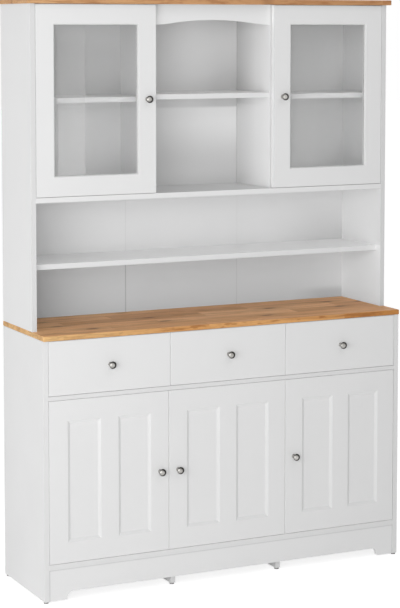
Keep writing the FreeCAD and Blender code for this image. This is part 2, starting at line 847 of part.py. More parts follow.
front_spans = ((-door_edge_outer, -door_edge_inner),
               (-third_half + s.front_gap / 2, third_half - s.front_gap / 2),
               (door_edge_inner, door_edge_outer))
for (name, bay_low, bay_high), (low_x, high_x) in zip(base_bays, front_spans):
    pieces += drawer(name, low_x, high_x, bay_low, bay_high)
pieces.append(group("drawer_runners_fixed", fixed_runners))

doc.recompute()
for item in doc.Objects:
    if "Invalid" in item.State or "Error" in item.State:
        raise RuntimeError(f"{item.Label} failed to build: {item.State}")
for piece in pieces:
    if piece.Shape.isNull() or not piece.Shape.isValid() or not piece.Shape.Solids:
        raise RuntimeError(f"{piece.Label} has no valid solid")
for piece in pieces:
    piece.Shape.exportStep(os.path.join("parts", f"{piece.Label}.step"))
print(f"{len(pieces)} nodes, {sum(len(piece.Shape.Solids) for piece in pieces)} solids")
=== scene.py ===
import json
import math

import bmesh
import bpy
from mathutils import Euler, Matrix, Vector


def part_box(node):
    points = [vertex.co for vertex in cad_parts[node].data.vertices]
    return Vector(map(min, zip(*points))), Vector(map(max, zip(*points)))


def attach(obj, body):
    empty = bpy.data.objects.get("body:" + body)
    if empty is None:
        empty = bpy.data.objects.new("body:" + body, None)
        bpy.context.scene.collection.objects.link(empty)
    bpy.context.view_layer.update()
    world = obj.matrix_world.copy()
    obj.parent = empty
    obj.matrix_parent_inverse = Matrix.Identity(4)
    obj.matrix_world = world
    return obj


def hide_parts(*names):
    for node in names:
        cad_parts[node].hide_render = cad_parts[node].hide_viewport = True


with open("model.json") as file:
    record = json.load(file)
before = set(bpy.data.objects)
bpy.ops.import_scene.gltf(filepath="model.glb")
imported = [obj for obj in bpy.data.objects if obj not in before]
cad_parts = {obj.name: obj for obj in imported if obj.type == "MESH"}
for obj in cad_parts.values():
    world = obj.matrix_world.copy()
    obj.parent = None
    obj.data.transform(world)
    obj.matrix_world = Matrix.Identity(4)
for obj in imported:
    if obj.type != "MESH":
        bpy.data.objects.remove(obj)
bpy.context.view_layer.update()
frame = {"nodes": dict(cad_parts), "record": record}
nodes = frame["nodes"]
slotOf = {part["node"]: part["material_slot"] for part in frame["record"]["subparts"]}
bodyOf = {node: body for body, group in frame["record"]["behaviour"]["bodies"].items() for node in group}
print("frame loaded:", len(nodes), "nodes")

scene = bpy.context.scene
scene.view_settings.view_transform = "Standard"


# One shader value, colour or vector. Sums and products of it add the nodes that work them out.
class Wire:
    def __init__(self, finish, socket):
        self.finish = finish
        self.socket = socket

    def combine(self, operation, first, second):
        if self.socket.type != "VECTOR":
            return self.finish.maths(operation, first, second)
        # a plain number acts on all three parts of a vector
        first, second = ((one,) * 3 if isinstance(one, float) else one for one in (first, second))
        return self.finish.node("ShaderNodeVectorMath", {"operation": operation}, {0: first, 1: second})

    # another output of the same node
    def sibling(self, name):
        return Wire(self.finish, self.socket.node.outputs[name])

    def __add__(self, other):
        return self.combine("ADD", self, other)

    def __radd__(self, other):
        return self.combine("ADD", other, self)

    def __sub__(self, other):
        return self.combine("SUBTRACT", self, other)

    def __rsub__(self, other):
        return self.combine("SUBTRACT", other, self)

    def __mul__(self, other):
        return self.combine("MULTIPLY", self, other)

    def __rmul__(self, other):
        return self.combine("MULTIPLY", other, self)

    def __truediv__(self, other):
        return self.combine("DIVIDE", self, other)

    def __rtruediv__(self, other):
        return self.combine("DIVIDE", other, self)

    def __pow__(self, other):
        return self.combine("POWER", self, other)

    def __rpow__(self, other):
        return self.combine("POWER", other, self)


# The nodes of one material, or of the world. Every one of them comes from node().
class Finish:
    def __init__(self, owner):
        owner.use_nodes = True
        self.owner = owner
        self.tree = owner.node_tree
        self.tree.nodes.clear()

    def node(self, kind, settings=None, sockets=None, out=0):
        made = self.tree.nodes.new(kind)
        for name, value in (settings or {}).items():
            if name == "stops":
                ramp = made.color_ramp.elements
                while len(ramp) < len(value):
                    ramp.new(0.5)
                for stop, (place, tone) in zip(ramp, value):
                    stop.position = place
                    stop.color = (*tone, 1.0)
            else:
                setattr(made, name, value)
        for name, value in (sockets or {}).items():
            if isinstance(value, Wire):
                self.tree.links.new(value.socket, made.inputs[name])
            else:
                made.inputs[name].default_value = value
        return Wire(self, made.outputs[out]) if made.outputs else None

    # a point's place in metres: to the right, to the back and up
    def place(self):
        return self.node("ShaderNodeTexCoord", out="Object")

    # how far a face looks to the right, to the back and up, each from -1 to 1
    def facing(self):
        return self.split(self.node("ShaderNodeTexCoord", out="Normal"))

    # where a point lies in the piece's own box, each from 0 to 1
    def boxPlace(self):
        return self.split(self.node("ShaderNodeTexCoord", out="Generated"))

    def split(self, vector):
        axes = self.node("ShaderNodeSeparateXYZ", {}, {"Vector": vector})
        return [axes.sibling(axis) for axis in "XYZ"]

    def joined(self, right, back, up):
        return self.node("ShaderNodeCombineXYZ", {}, {"X": right, "Y": back, "Z": up})

    def maths(self, operation, *values):
        return self.node("ShaderNodeMath", {"operation": operation}, dict(enumerate(values)))

    def stretched(self, place, scale):
        return self.node("ShaderNodeMapping", {}, {"Vector": place, "Scale": scale})

    def noise(self, place, scale, detail=2.0, roughness=0.5, distortion=0.0):
        return self.node("ShaderNodeTexNoise", {}, {
            "Vector": place, "Scale": scale, "Detail": detail,
            "Roughness": roughness, "Distortion": distortion})

    def ramp(self, value, stops):
        return self.node("ShaderNodeValToRGB", {"stops": stops}, {"Fac": value})

    # a smooth step, which starts at low and is complete at high
    def level(self, value, low, high, newLow=0.0, newHigh=1.0):
        return self.node("ShaderNodeMapRange", {"interpolation_type": "SMOOTHSTEP"}, {
            "Value": value, "From Min": low, "From Max": high, "To Min": newLow, "To Max": newHigh})

    def mixed(self, share, first, second):
        return self.node("ShaderNodeMix", {"data_type": "RGBA"}, {0: share, 6: first, 7: second}, out=2)

    def bump(self, height, strength, distance):
        return self.node("ShaderNodeBump", {}, {"Height": height, "Strength": strength, "Distance": distance})

    def surface(self, shader):
        self.node("ShaderNodeOutputMaterial", {}, {"Surface": shader})
        return self.owner


def newFinish(name):
    return Finish(bpy.data.materials.new(name))


def colour(red, green, blue):
    return (red, green, blue, 1.0)


def grey(tone):
    return colour(tone, tone, tone)


# White paint on board: nearly even, with a faint roller texture and a little unevenness of tone.
# On doors and drawer fronts the edges in the gaps are whitened by painted light, and the slopes get painted
# shade where they look left or up and painted light where they look down.
whiteFronts = {
    "white": grey(0.845),
    "shade": colour(0.82, 0.82, 0.821),
    "edges": grey(0.97),
    "slopes": grey(0.845),
    "leftSlopeShade": grey(0.78),
    "lowSlopeLight": grey(0.90),
    "highSlopeShade": grey(0.78),
    "patches": 3.5,
    "patchShare": 0.5,
    "roller": 700.0,
    "rollerDepth": 0.00006,
    "gloss": (0.38, 0.5),
    "shine": 0.4,
}
# carcass boards are a shade greyer, most of all on their banded front edges
whiteHutch = {
    **whiteFronts,
    "white": grey(0.84),
    "shade": colour(0.815, 0.815, 0.817),
    "banding": grey(0.745),
    # faces that look up get painted light
    "tops": grey(0.97),
}
whiteBase = {**whiteHutch, "banding": grey(0.80)}
# the hutch's walls that look left have painted light, which fades from front to back and changes by height
# where its boards hide it
whiteWall = {
    **whiteHutch,
    "depthLightAndShade": [(0.0, (0.91, 0.91, 0.91)), (1.0, (0.88, 0.88, 0.88))],
    "depthSpan": (-0.06, 0.17),
    "nicheShelf": (0.96, 0.965),
    "bottomBoard": (1.15, 1.16),
    "upperShelf": (1.40, 1.41),
    "underShelfShare": 0.35,
}
# the centre bay's own wall has painted light at the front and painted shade towards the back, where it is
# much greyer
whiteBay = {
    **whiteWall,
    "depthLightAndShade": [(0.0, (0.98, 0.98, 0.98)), (0.45, (0.92, 0.92, 0.92)), (1.0, (0.61, 0.61, 0.61))],
}
# shelves, the bays' floor, glazed frames, drawer rail and arch differ by a tone or two: the rail is darkened
# by painted shade and the arch lightened by painted light, and the floor's top and the frames' left slopes
# carry painted shade
whiteShelf = {**whiteHutch, "banding": grey(0.82)}
# the top of the bays' floor gets painted shade
whiteFloor = {**whiteFronts, "tops": grey(0.72)}
whiteFrame = {**whiteFronts, "leftSlopeShade": grey(0.68)}
whiteRail = {**whiteFronts, "white": grey(0.80), "shade": colour(0.78, 0.78, 0.781)}
whiteArch = {**whiteFronts, "white": grey(0.885), "shade": colour(0.865, 0.865, 0.866)}
# the plinth has a grey line where it meets the boards beside and above it, in shares of its own box
whitePlinth = {**whiteFronts, "joint": grey(0.60), "jointWidths": (0.0012, 0.022), "upperJointShare": 0.6}


def shadeWall(made, place, tone, settings):
    depth, height = made.split(place)[1:]
    front, back = settings["depthSpan"]
    share = made.node("ShaderNodeMapRange", {}, {"Value": depth, "From Min": front, "From Max": back})
    overNicheShelf = made.level(height, *settings["nicheShelf"])
    overBottomBoard = made.level(height, *settings["bottomBoard"])
    underUpperShelf = made.level(height, *settings["upperShelf"], 1.0, 0.0)
    # beside the upper niche the wall keeps the common tone, and beside the lower one painted light makes it
    # whitest
    wall = made.mixed(overNicheShelf * (1.0 - overBottomBoard), made.ramp(share, settings["depthLightAndShade"]), tone)
    wall = made.mixed(1.0 - overNicheShelf, wall, settings["tops"])
    # the low part of the bay gets a share of the same painted light
    lowInBay = overBottomBoard * underUpperShelf * settings["underShelfShare"]
    return made.mixed(lowInBay, wall, settings["tops"])


def shadeSlopes(made, facing, settings):
    # painted shade on slopes that look left or up, painted light on those that look down and on the edges in
    # the gaps
    sideways, forward, upward = facing
    slopes = made.mixed(made.level(sideways, -0.2, -0.4), settings["slopes"], settings["leftSlopeShade"])
    slopes = made.mixed(made.level(upward, -0.2, -0.4), slopes, settings["lowSlopeLight"])
    slopes = made.mixed(made.level(upward, 0.2, 0.4), slopes, settings["highSlopeShade"])
    return made.mixed(made.level(forward, -0.15, -0.35), settings["edges"], slopes)


def drawJoint(made, settings):
    right, up = made.boxPlace()[::2]
    aside, above = settings["jointWidths"]
    atLeft = made.level(right, aside, aside * 2.0, 1.0, 0.0)
    atRight = made.level(right, 1.0 - aside * 2.0, 1.0 - aside)
    atTop = made.level(up, 1.0 - above * 2.0, 1.0 - above) * settings["upperJointShare"]
    return made.maths("MAXIMUM", made.maths("MAXIMUM", atLeft, atTop), atRight)


def makeWhiteBoard(name, settings):
    made = newFinish(name)
    place = made.place()
    patches = made.noise(place, settings["patches"], 4.0, 0.6)
    roller = made.noise(place, settings["roller"], 2.0)
    patchy = made.level(patches, 0.35, 0.75) * settings["patchShare"]
    tone = made.mixed(patchy, settings["white"], settings["shade"])
    sideways, forward, upward = made.facing()
    front = made.level(forward, -0.9, -0.98)
    # walls that look left get painted light and shade by depth and height
    if "depthLightAndShade" in settings:
        wall = shadeWall(made, place, tone, settings)
        tone = made.mixed(made.level(sideways, -0.8, -0.95), tone, wall)
    if "banding" in settings:
        tone = made.mixed(front, tone, settings["banding"])
    else:
        slopes = shadeSlopes(made, (sideways, forward, upward), settings)
        tone = made.mixed(front, slopes, tone)
    # painted light on faces that look up, and painted shade there on the bays' floor
    if "tops" in settings:
        tone = made.mixed(made.level(upward, 0.8, 0.95), tone, settings["tops"])
    if "joint" in settings:
        tone = made.mixed(drawJoint(made, settings), tone, settings["joint"])
    paint = made.node("ShaderNodeBsdfPrincipled", {}, {
        "Base Color": tone,
        "Roughness": made.level(patches, 0.3, 0.7, *settings["gloss"]),
        "Specular IOR Level": settings["shine"],
        "Normal": made.bump(roller, 0.35, settings["rollerDepth"])})
    return made.surface(paint)


# Oak-look laminate: rows of staves along the length, with streaks, flames, pores and dark knots.
# "repeats" says how often a pattern repeats in a metre to the right, to the back and up, "noise" has its
# detail, roughness and distortion, and "span" the values between which its tone comes in.
oak = {
    "rowWidth": 0.062,
    "staveLength": 0.46,
    "rowOffset": 0.618,
    "grainShift": (4.0, 0.7, 0.3),
    "staves": [(0.0, (0.74, 0.372, 0.156)), (0.45, (0.90, 0.490, 0.225)), (0.8, (0.97, 0.560, 0.275)),
               (1.0, (0.82, 0.430, 0.192))],
    "edges": [(0.0, (0.58, 0.250, 0.072)), (0.5, (0.82, 0.445, 0.175)), (0.8, (0.70, 0.330, 0.100)),
              (1.0, (0.64, 0.290, 0.085))],
    "wandering": {"repeats": (2.2, 9.0, 9.0), "noise": (2.0, 0.5), "reach": 0.07},
    "flames": {"repeats": (2.6, 52.0, 52.0), "noise": (3.0, 0.55, 0.35), "span": (0.42, 0.72),
               "share": 0.38, "tone": colour(0.34, 0.125, 0.042)},
    "streaks": {"repeats": (5.0, 220.0, 220.0), "noise": (4.0, 0.65), "span": (0.5, 0.7),
                "share": 0.5, "tone": colour(0.34, 0.125, 0.042)},
    "pores": {"repeats": (35.0, 1400.0, 1400.0), "noise": (1.0, 0.5), "span": (0.6, 0.8),
              "share": 0.22, "tone": colour(0.22, 0.085, 0.032)},
    "knots": {"repeats": (3.4, 11.0, 1.0), "scatter": 0.95, "faintness": (0.2, 0.5, 0.25, 1.0)},
    "halo": {"span": (0.05, 0.34), "share": 0.36, "tone": colour(0.34, 0.125, 0.042)},
    "heart": {"span": (0.025, 0.10), "share": 0.95, "tone": colour(0.150, 0.045, 0.013)},
    "joints": {"seam": 0.02, "butt": 0.003, "share": 0.3, "tone": colour(0.22, 0.085, 0.032)},
    "blotches": {"repeats": (15.0, 6.0, 70.0), "noise": (3.0, 0.6, 0.4), "span": (0.5, 0.64), "share": 0.75},
    "blotchTone": colour(0.40, 0.165, 0.050),
    # painted light and painted shade along the edges, from the left end to the right one
    "shadedEnd": (0.0, 0.6),
    "shadedShare": 0.28,
    "litEnd": (-0.1, -0.5),
    "litShare": 0.4,
    "litTone": colour(0.97, 0.72, 0.36),
    "gloss": (0.42, 0.58),
    "shine": 0.14,
    "grainDepth": 0.0003,
    "bounce": grey(0.42),
}
# the crown's edges are duller and less orange than the worktop's
crownOak = {
    **oak,
    "edges": [(0.0, (0.56, 0.290, 0.125)), (0.5, (0.70, 0.395, 0.205)), (0.8, (0.62, 0.330, 0.155)),
              (1.0, (0.59, 0.305, 0.140))],
    "blotchTone": colour(0.45, 0.215, 0.095),
    "litShare": 0.15,
}


def makeOak(name, settings):
    made = newFinish(name)
    place = made.place()
    along, across = made.split(place)[:2]

    def pattern(layer, where):
        values = settings[layer]
        return made.noise(made.stretched(where, values["repeats"]), 1.0, *values["noise"])

    def drawn(wood, amount, layer):
        return made.mixed(amount * settings[layer]["share"], wood, settings[layer]["tone"])

    # every stave has a number of its own, which shifts its grain and sets its tone
    rowPlace = across / settings["rowWidth"]
    row = made.maths("FLOOR", rowPlace)
    stavePlace = along / settings["staveLength"] + row * settings["rowOffset"]
    stave = made.maths("FLOOR", stavePlace)
    number = made.joined(row + 0.5, stave + 0.5, 0.0)
    chance = made.node("ShaderNodeTexWhiteNoise", {"noise_dimensions": "2D"}, {"Vector": number})
    grain = place + made.joined(*(chance * shift for shift in settings["grainShift"]))
    wander = pattern("wandering", grain) * settings["wandering"]["reach"]
    bend = made.joined(0.0, wander, wander)
    grain = grain + bend

    # edges have stronger tones than the top, with blotches and with fainter knots
    upright = made.level(made.facing()[2] ** 2.0, 0.3, 0.7, 1.0, 0.0)
    plain = 1.0 - upright * 0.7
    wood = made.mixed(upright, made.ramp(chance, settings["staves"]), made.ramp(chance, settings["edges"]))
    blotches = settings["blotches"]
    blotched = made.level(pattern("blotches", place), *blotches["span"]) * upright * blotches["share"]
    wood = made.mixed(blotched, wood, settings["blotchTone"])
    # painted light makes them palest at the left end and painted shade darkest at the right one
    litEdges = made.level(along, *settings["litEnd"]) * upright * settings["litShare"]
    wood = made.mixed(litEdges, wood, settings["litTone"])
    shadedEdges = made.level(along, *settings["shadedEnd"]) * upright * settings["shadedShare"]
    wood = made.mixed(shadedEdges, wood, settings["blotchTone"])

    lines = {layer: pattern(layer, grain) for layer in ("flames", "streaks", "pores")}
    for layer, value in lines.items():
        wood = drawn(wood, made.level(value, *settings[layer]["span"]), layer)

    # each knot has a chance of its own, so that about a third of them stay faint
    knots = settings["knots"]
    fromKnot = made.node("ShaderNodeTexVoronoi", {"feature": "F1", "voronoi_dimensions": "2D"}, {
        "Vector": made.stretched(place + bend * 0.3, knots["repeats"]),
        "Scale": 1.0, "Randomness": knots["scatter"]})
    kept = made.level(made.split(fromKnot.sibling("Color"))[0], *knots["faintness"])
    for layer in ("halo", "heart"):
        near = made.level(fromKnot, *settings[layer]["span"], 1.0, 0.0)
        wood = drawn(wood, near * kept * plain, layer)

    seam = made.level(made.maths("FRACT", rowPlace), 0.0, settings["joints"]["seam"], 1.0, 0.0)
    butt = made.level(made.maths("FRACT", stavePlace), 0.0, settings["joints"]["butt"], 1.0, 0.0)
    wood = drawn(wood, made.maths("MAXIMUM", seam, butt) * plain, "joints")
    lacquer = made.node("ShaderNodeBsdfPrincipled", {}, {
        "Base Color": wood,
        "Roughness": made.level(lines["streaks"], 0.3, 0.7, *settings["gloss"]),
        "Specular IOR Level": settings["shine"],
        "Normal": made.bump(lines["pores"] * -0.5 + lines["streaks"] * 0.3, 0.35, settings["grainDepth"])})
    # light that the wood throws on white boards stays neutral, as in the photographed cabinet
    thrown = made.node("ShaderNodeBsdfDiffuse", {}, {"Color": settings["bounce"]})
    diffuseRay = made.node("ShaderNodeLightPath", out="Is Diffuse Ray")
    return made.surface(made.node("ShaderNodeMixShader", {}, {0: diffuseRay, 1: lacquer, 2: thrown}))


# Thin white-faced fibreboard of the backs, with grey lines where two sheets meet, and with zones of painted
# light and painted shade. The places are in metres from the middle and from the floor: where a step of tone
# starts, where it is complete, and the shares that it goes from and to.
backSheet = {
    "white": grey(0.855),
    "shade": colour(0.835, 0.835, 0.837),
    # the next two tones are painted light and painted shade
    "sheetLight": grey(0.955),
    "sheetShade": grey(0.68),
    "seam": grey(0.36),
    "seamPlace": 0.191,
    "seamWidth": (0.0006, 0.0021),
    "nicheSeams": (0.93, 0.97, 0.5, 0.1),
    "rightSeam": (-0.1, 0.1, 1.0, 0.35),
    "baySeams": (1.12, 1.17, 0.0, 0.65),
    "dividers": (0.188, 0.193),
    "leftDivider": (-0.188, -0.193),
    "nicheShelf": (0.955, 0.96),
    "bottomBoard": (1.14, 1.15),
    "bayShelf": (1.39, 1.40),
    "leftShelf": (1.41, 1.44),
    "underNicheShelf": (0.86, 0.945),
    "rightDoor": (0.50, 0.25),
    "rightDoorShare": 0.6,
    "bayFloor": (1.22, 1.36, 0.8, 0.0),
    "bayFloorRight": (0.0, 0.16, 0.0, 0.15),
    "bayTop": (1.455, 1.59, 0.46, 0.0),
    "bayTopRight": (0.0, 0.16, 0.0, 0.5),
    "leftDoor": (1.56, 1.64, 0.95, 0.2),
    "upperNiche": (0.98, 1.14, 0.95, 0.1),
    "upperNicheRight": (0.27, 0.56),
    "lowerNiche": (0.815, 0.79),
    "lowerNicheRight": (0.38, 0.52),
    "farLeft": (-0.52, -0.575),
    "farLeftShare": 0.8,
    "clouds": 5.0,
    "fibres": (260.0, 260.0, 60.0),
    "fibreDepth": 0.00008,
    "gloss": (0.45, 0.6),
    "shine": 0.3,
}


def shadeSheet(made, right, up, white, settings):
    def across(step):
        return made.level(right, *settings[step])

    def upwards(step):
        return made.level(up, *settings[step])

    # only their inner faces, which look to the front, vary
    inside = made.level(made.facing()[1], -0.5, -0.9)
    overShelf = upwards("nicheShelf")
    overBoard = upwards("bottomBoard")
    # painted light makes the sheets whitest in the centre bay, under the niche's shelf and behind the right
    # door
    bay = made.level(made.maths("ABSOLUTE", right), *settings["dividers"], 1.0, 0.0) * overBoard
    underShelf = upwards("underNicheShelf") * (1.0 - overShelf)
    rightDoor = across("dividers") * across("rightDoor") * overBoard * settings["rightDoorShare"]
    white = made.mixed((bay + underShelf + rightDoor) * inside, white, settings["sheetLight"])
    # painted shade darkens them low in the centre bay and over its shelf, over the shelf behind the left
    # door, low in both niches towards the right, and at the niches' far left
    overBayShelf = upwards("bayShelf") * (upwards("bayTop") + across("bayTopRight"))
    sheetShade = bay * (upwards("bayFloor") + across("bayFloorRight") + overBayShelf)
    sheetShade = sheetShade + across("leftDivider") * upwards("leftShelf") * upwards("leftDoor")
    upperNiche = overShelf * upwards("upperNiche") * (1.0 - overBoard)
    sheetShade = sheetShade + across("upperNicheRight") * upperNiche
    sheetShade = sheetShade + across("lowerNicheRight") * upwards("lowerNiche")
    sheetShade = sheetShade + across("farLeft") * (1.0 - overBoard) * settings["farLeftShare"]
    return made.mixed(sheetShade * inside, white, settings["sheetShade"])


def makeBackSheet(name, settings):
    made = newFinish(name)
    place = made.place()
    right, up = made.split(place)[::2]
    fibres = made.noise(made.stretched(place, settings["fibres"]), 1.0, 3.0)
    cloud = made.noise(place, settings["clouds"], 3.0)
    white = made.mixed(made.level(cloud, 0.3, 0.75), settings["white"], settings["shade"])
    white = shadeSheet(made, right, up, white, settings)
    # the seams show most in the centre bay, then in the lower niche, and there the left one most
    worn = made.level(up, *settings["nicheSeams"]) * made.level(right, *settings["rightSeam"])
    worn = worn + made.level(up, *settings["baySeams"])
    fromSeam = made.maths("ABSOLUTE", made.maths("ABSOLUTE", right) - settings["seamPlace"])
    seam = made.level(fromSeam, *settings["seamWidth"], 1.0, 0.0) * worn
    sheet = made.node("ShaderNodeBsdfPrincipled", {}, {
        "Base Color": made.mixed(seam, white, settings["seam"]),
        "Roughness": made.level(fibres, 0.3, 0.7, *settings["gloss"]),
        "Specular IOR Level": settings["shine"],
        "Normal": made.bump(fibres, 0.3, settings["fibreDepth"])})
    return made.surface(sheet)


# Lightly greyed float glass, through which lamps light what stands behind it. A painted reflection, a pale
# diffuse grey, lies on the left of both panes, and on the left door's also a band of it with clear edges, in
# shares of the pane.
glass = {
    "tint": colour(0.848, 0.85, 0.85),
    "shadowTint": colour(0.80, 0.802, 0.802),
    "bend": 1.46,
    "smudges": 9.0,
    "roughness": (0.0, 0.025),
    "paleReflection": grey(0.85),
    "paleReflectionAcross": (0.1, 0.85, 0.11, 0.0),
    "paleReflectionUp": (0.35, 0.65, 1.1, 0.4),
    "bandStart": (0.07, 0.09),
    "bandEnd": (0.37, 0.39, 0.09, 0.0),
}


def makeGlass(name, settings):
    made = newFinish(name)
    place = made.place()
    smudges = made.noise(place, settings["smudges"], 5.0, 0.6)
    pane = made.node("ShaderNodeBsdfPrincipled", {}, {
        "Base Color": settings["tint"],
        "Roughness": made.level(smudges, 0.45, 0.8, *settings["roughness"]),
        "IOR": settings["bend"],
        "Transmission Weight": 1.0})
    across, up = made.boxPlace()[::2]
    leftDoor = made.level(made.split(place)[0], -0.1, 0.1, 1.0, 0.0)
    band = made.level(across, *settings["bandStart"]) * made.level(across, *settings["bandEnd"])
    paleReflection = made.level(across, *settings["paleReflectionAcross"]) + band * leftDoor
    paleReflection = paleReflection * made.level(up, *settings["paleReflectionUp"]) * made.level(smudges, 0.2, 0.8, 0.9, 1.1)
    # a pale diffuse grey mixed into the pane as a painted reflection
    reflectionShader = made.node("ShaderNodeBsdfDiffuse", {}, {"Color": settings["paleReflection"]})
    pane = made.node("ShaderNodeMixShader", {}, {0: paleReflection, 1: pane, 2: reflectionShader})
    shadow = made.node("ShaderNodeBsdfTransparent", {}, {"Color": settings["shadowTint"]})
    shadowRay = made.node("ShaderNodeLightPath", out="Is Shadow Ray")
    return made.surface(made.node("ShaderNodeMixShader", {}, {0: shadowRay, 1: pane, 2: shadow}))


# Metals: a base tone with clouds of a second, a darker one painted as shade where a face turns away from the
# front and the left, the spread of roughness and fine brushing. "right", "back" and "down" say how much it
# counts that a face looks that way, and "span" where the darker tone then comes in.
anyMetal = {
    "clouds": 60.0,
    "brushDepth": 0.00005,
    "shadeWhenTurnedAway": {"right": 0.45, "back": 0.85, "down": 0.1, "span": (-0.8, 0.05)},
}
metals = {
    "satin_nickel": {"tone": colour(0.50, 0.49, 0.47), "cloud": colour(0.38, 0.37, 0.35),
                     "turned": colour(0.028, 0.026, 0.024), "brushing": (900.0, 500.0, 900.0),
                     "gloss": (0.24, 0.34), "rimShade": (0.24, 0.80), "rimShadeRight": 0.5,
                     "stem": (-0.25, 0.0, 1.0, 0.5)},
    "hinge_steel": {"tone": colour(0.62, 0.62, 0.61), "cloud": colour(0.50, 0.50, 0.49),
                    "turned": colour(0.42, 0.42, 0.41), "brushing": (300.0, 900.0, 300.0),
                    "gloss": (0.22, 0.36)},
    "runner_steel": {"tone": colour(0.60, 0.61, 0.62), "cloud": colour(0.47, 0.48, 0.49),
                     "turned": colour(0.45, 0.46, 0.47), "brushing": (60.0, 60.0, 60.0),
                     "gloss": (0.34, 0.5)},
}


def makeMetal(name, settings):
    made = newFinish(name)
    place = made.place()
    brushing = made.noise(made.stretched(place, settings["brushing"]), 1.0, 2.0)
    cloud = made.noise(place, anyMetal["clouds"], 3.0)
    tone = made.mixed(made.level(cloud, 0.35, 0.7), settings["tone"], settings["cloud"])
    sideways, forward, upward = made.facing()
    if "rimShade" in settings:
        # a knob's head, drawn over its own box: a painted highlight in the middle and at the left, and
        # painted shade towards the rim
        right, up = [(part - 0.5) * 2.0 for part in made.boxPlace()[::2]]
        fromCentre = (right * right + up * up) ** 0.5
        shadeShare = made.level(fromCentre + right * settings["rimShadeRight"], *settings["rimShade"])
        # the painted shade is weaker on the stem and the back of the head
        shadeShare = shadeShare * made.level(forward, *settings["stem"])
    else:
        # painted shade on faces turned away from the front and the left
        ways = anyMetal["shadeWhenTurnedAway"]
        turned = sideways * ways["right"] + forward * ways["back"] - upward * ways["down"]
        shadeShare = made.level(turned, *ways["span"])
    metal = made.node("ShaderNodeBsdfPrincipled", {}, {
        "Base Color": made.mixed(shadeShare, tone, settings["turned"]),
        "Metallic": 1.0,
        "Roughness": made.level(brushing + cloud * 0.4, 0.4, 0.9, *settings["gloss"]),
        "Normal": made.bump(brushing, 0.12, anyMetal["brushDepth"])})
    return made.surface(metal)


# Grey plastic of the floor glides
glidePlastic = {
    "tone": colour(0.34, 0.335, 0.33),
    "scuffed": colour(0.24, 0.235, 0.23),
    "scuffs": 220.0,
    "scuffDepth": 0.0001,
    "gloss": (0.42, 0.62),
}


def makePlastic(name, settings):
    made = newFinish(name)
    scuffs = made.noise(made.place(), settings["scuffs"], 4.0, 0.65)
    plastic = made.node("ShaderNodeBsdfPrincipled", {}, {
        "Base Color": made.mixed(made.level(scuffs, 0.4, 0.7), settings["tone"], settings["scuffed"]),
        "Roughness": made.level(scuffs, 0.3, 0.7, *settings["gloss"]),
        "Normal": made.bump(scuffs, 0.25, settings["scuffDepth"])})
    return made.surface(plastic)


# The finish of each material slot, of the cabinet's own white boards, and of the pieces that differ
finishes = {
    "white_board": makeWhiteBoard("whiteFronts", whiteFronts),
    "oak_board": makeOak("oakBoard", oak),
    "back_sheet": makeBackSheet("backSheet", backSheet),
    "clear_glass": makeGlass("clearGlass", glass),
    "glide_plastic": makePlastic("glidePlastic", glidePlastic),
    **{slot: makeMetal(slot, settings) for slot, settings in metals.items()},
}
hutchPaint = makeWhiteBoard("whiteHutch", whiteHutch)
basePaint = makeWhiteBoard("whiteBase", whiteBase)
ownFinishes = [
    (makeWhiteBoard("whiteRail", whiteRail), ["drawer_rail"]),
    (makeWhiteBoard("whiteArch", whiteArch), ["arch_valance"]),
    (makeWhiteBoard("whitePlinth", whitePlinth), ["plinth_valance"]),
    (makeOak("crownOak", crownOak), ["crown_board"]),
    (makeWhiteBoard("whiteBay", whiteBay), ["hutch_divider_right"]),
    (makeWhiteBoard("whiteWall", whiteWall), ["hutch_divider_left", "hutch_side_right"]),
    (makeWhiteBoard("whiteShelf", whiteShelf), ["niche_shelf", "hutch_shelf_centre", "hutch_shelf_right"]),
    (makeWhiteBoard("whiteFloor", whiteFloor), ["hutch_bottom_board"]),
    (makeWhiteBoard("whiteFrame", whiteFrame), ["glass_door_left_frame", "glass_door_right_frame"]),
]
ownFinish = {node: finish for finish, group in ownFinishes for node in group}
for node, piece in nodes.items():
    finish = finishes[slotOf[node]]
    if slotOf[node] == "white_board" and bodyOf[node] == "cabinet":
        finish = basePaint if node.startswith(("base", "middle")) else hutchPaint
    piece.data.materials.clear()
    piece.data.materials.append(ownFinish.get(node, finish))
print("materials made:", len(bpy.data.materials))


# Turned mushroom knobs with a foot, a neck and a domed head. The profile runs from the foot's back
# to the middle of the face, in shares of the head's radius and of the reach.
knob = {
    "sides": 40,
    "profile": [(0.0, 0.0), (0.60, 0.0), (0.60, 0.05), (0.53, 0.10), (0.49, 0.22), (0.48, 0.40), (0.53, 0.53),
                (0.66, 0.605), (0.85, 0.645), (0.955, 0.68), (1.0, 0.735), (1.0, 0.785), (0.97, 0.845),
                (0.90, 0.895), (0.76, 0.94), (0.55, 0.973), (0.30, 0.993), (0.0, 1.0)],
}


